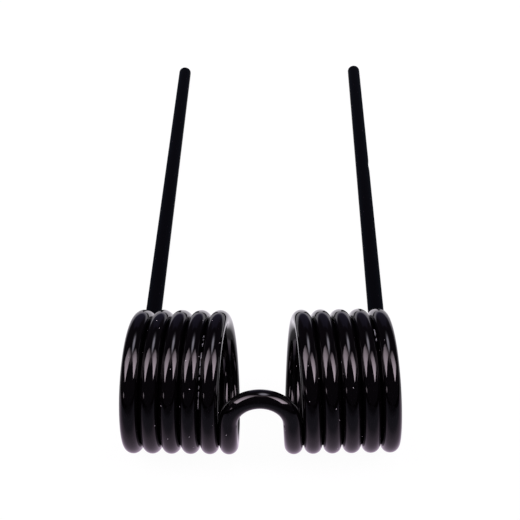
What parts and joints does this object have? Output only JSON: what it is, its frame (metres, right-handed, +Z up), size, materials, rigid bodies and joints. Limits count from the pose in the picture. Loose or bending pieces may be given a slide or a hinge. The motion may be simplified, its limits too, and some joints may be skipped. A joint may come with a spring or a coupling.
{
  "type": "double torsion spring",
  "caption": "Double torsion spring: two opposite-hand close-wound coils of round wire, joined at the front by a half-loop bight, with long straight legs.",
  "frame": {"origin": "on the common axis of the two coils, midway between them", "axes": "+X along the coils' axis towards one coil, +Y along the straight legs towards their tips, +Z up from the floor that the legs and coils lie on, towards the top of the bight"},
  "size_m": [0.1576, 0.5108, 0.0785],
  "materials": {
    "black_enamel": "gloss black enamel over round spring steel wire"
  },
  "bodies": {
    "root": {"double_torsion_spring": "black_enamel"}
  },
  "joints": []
}
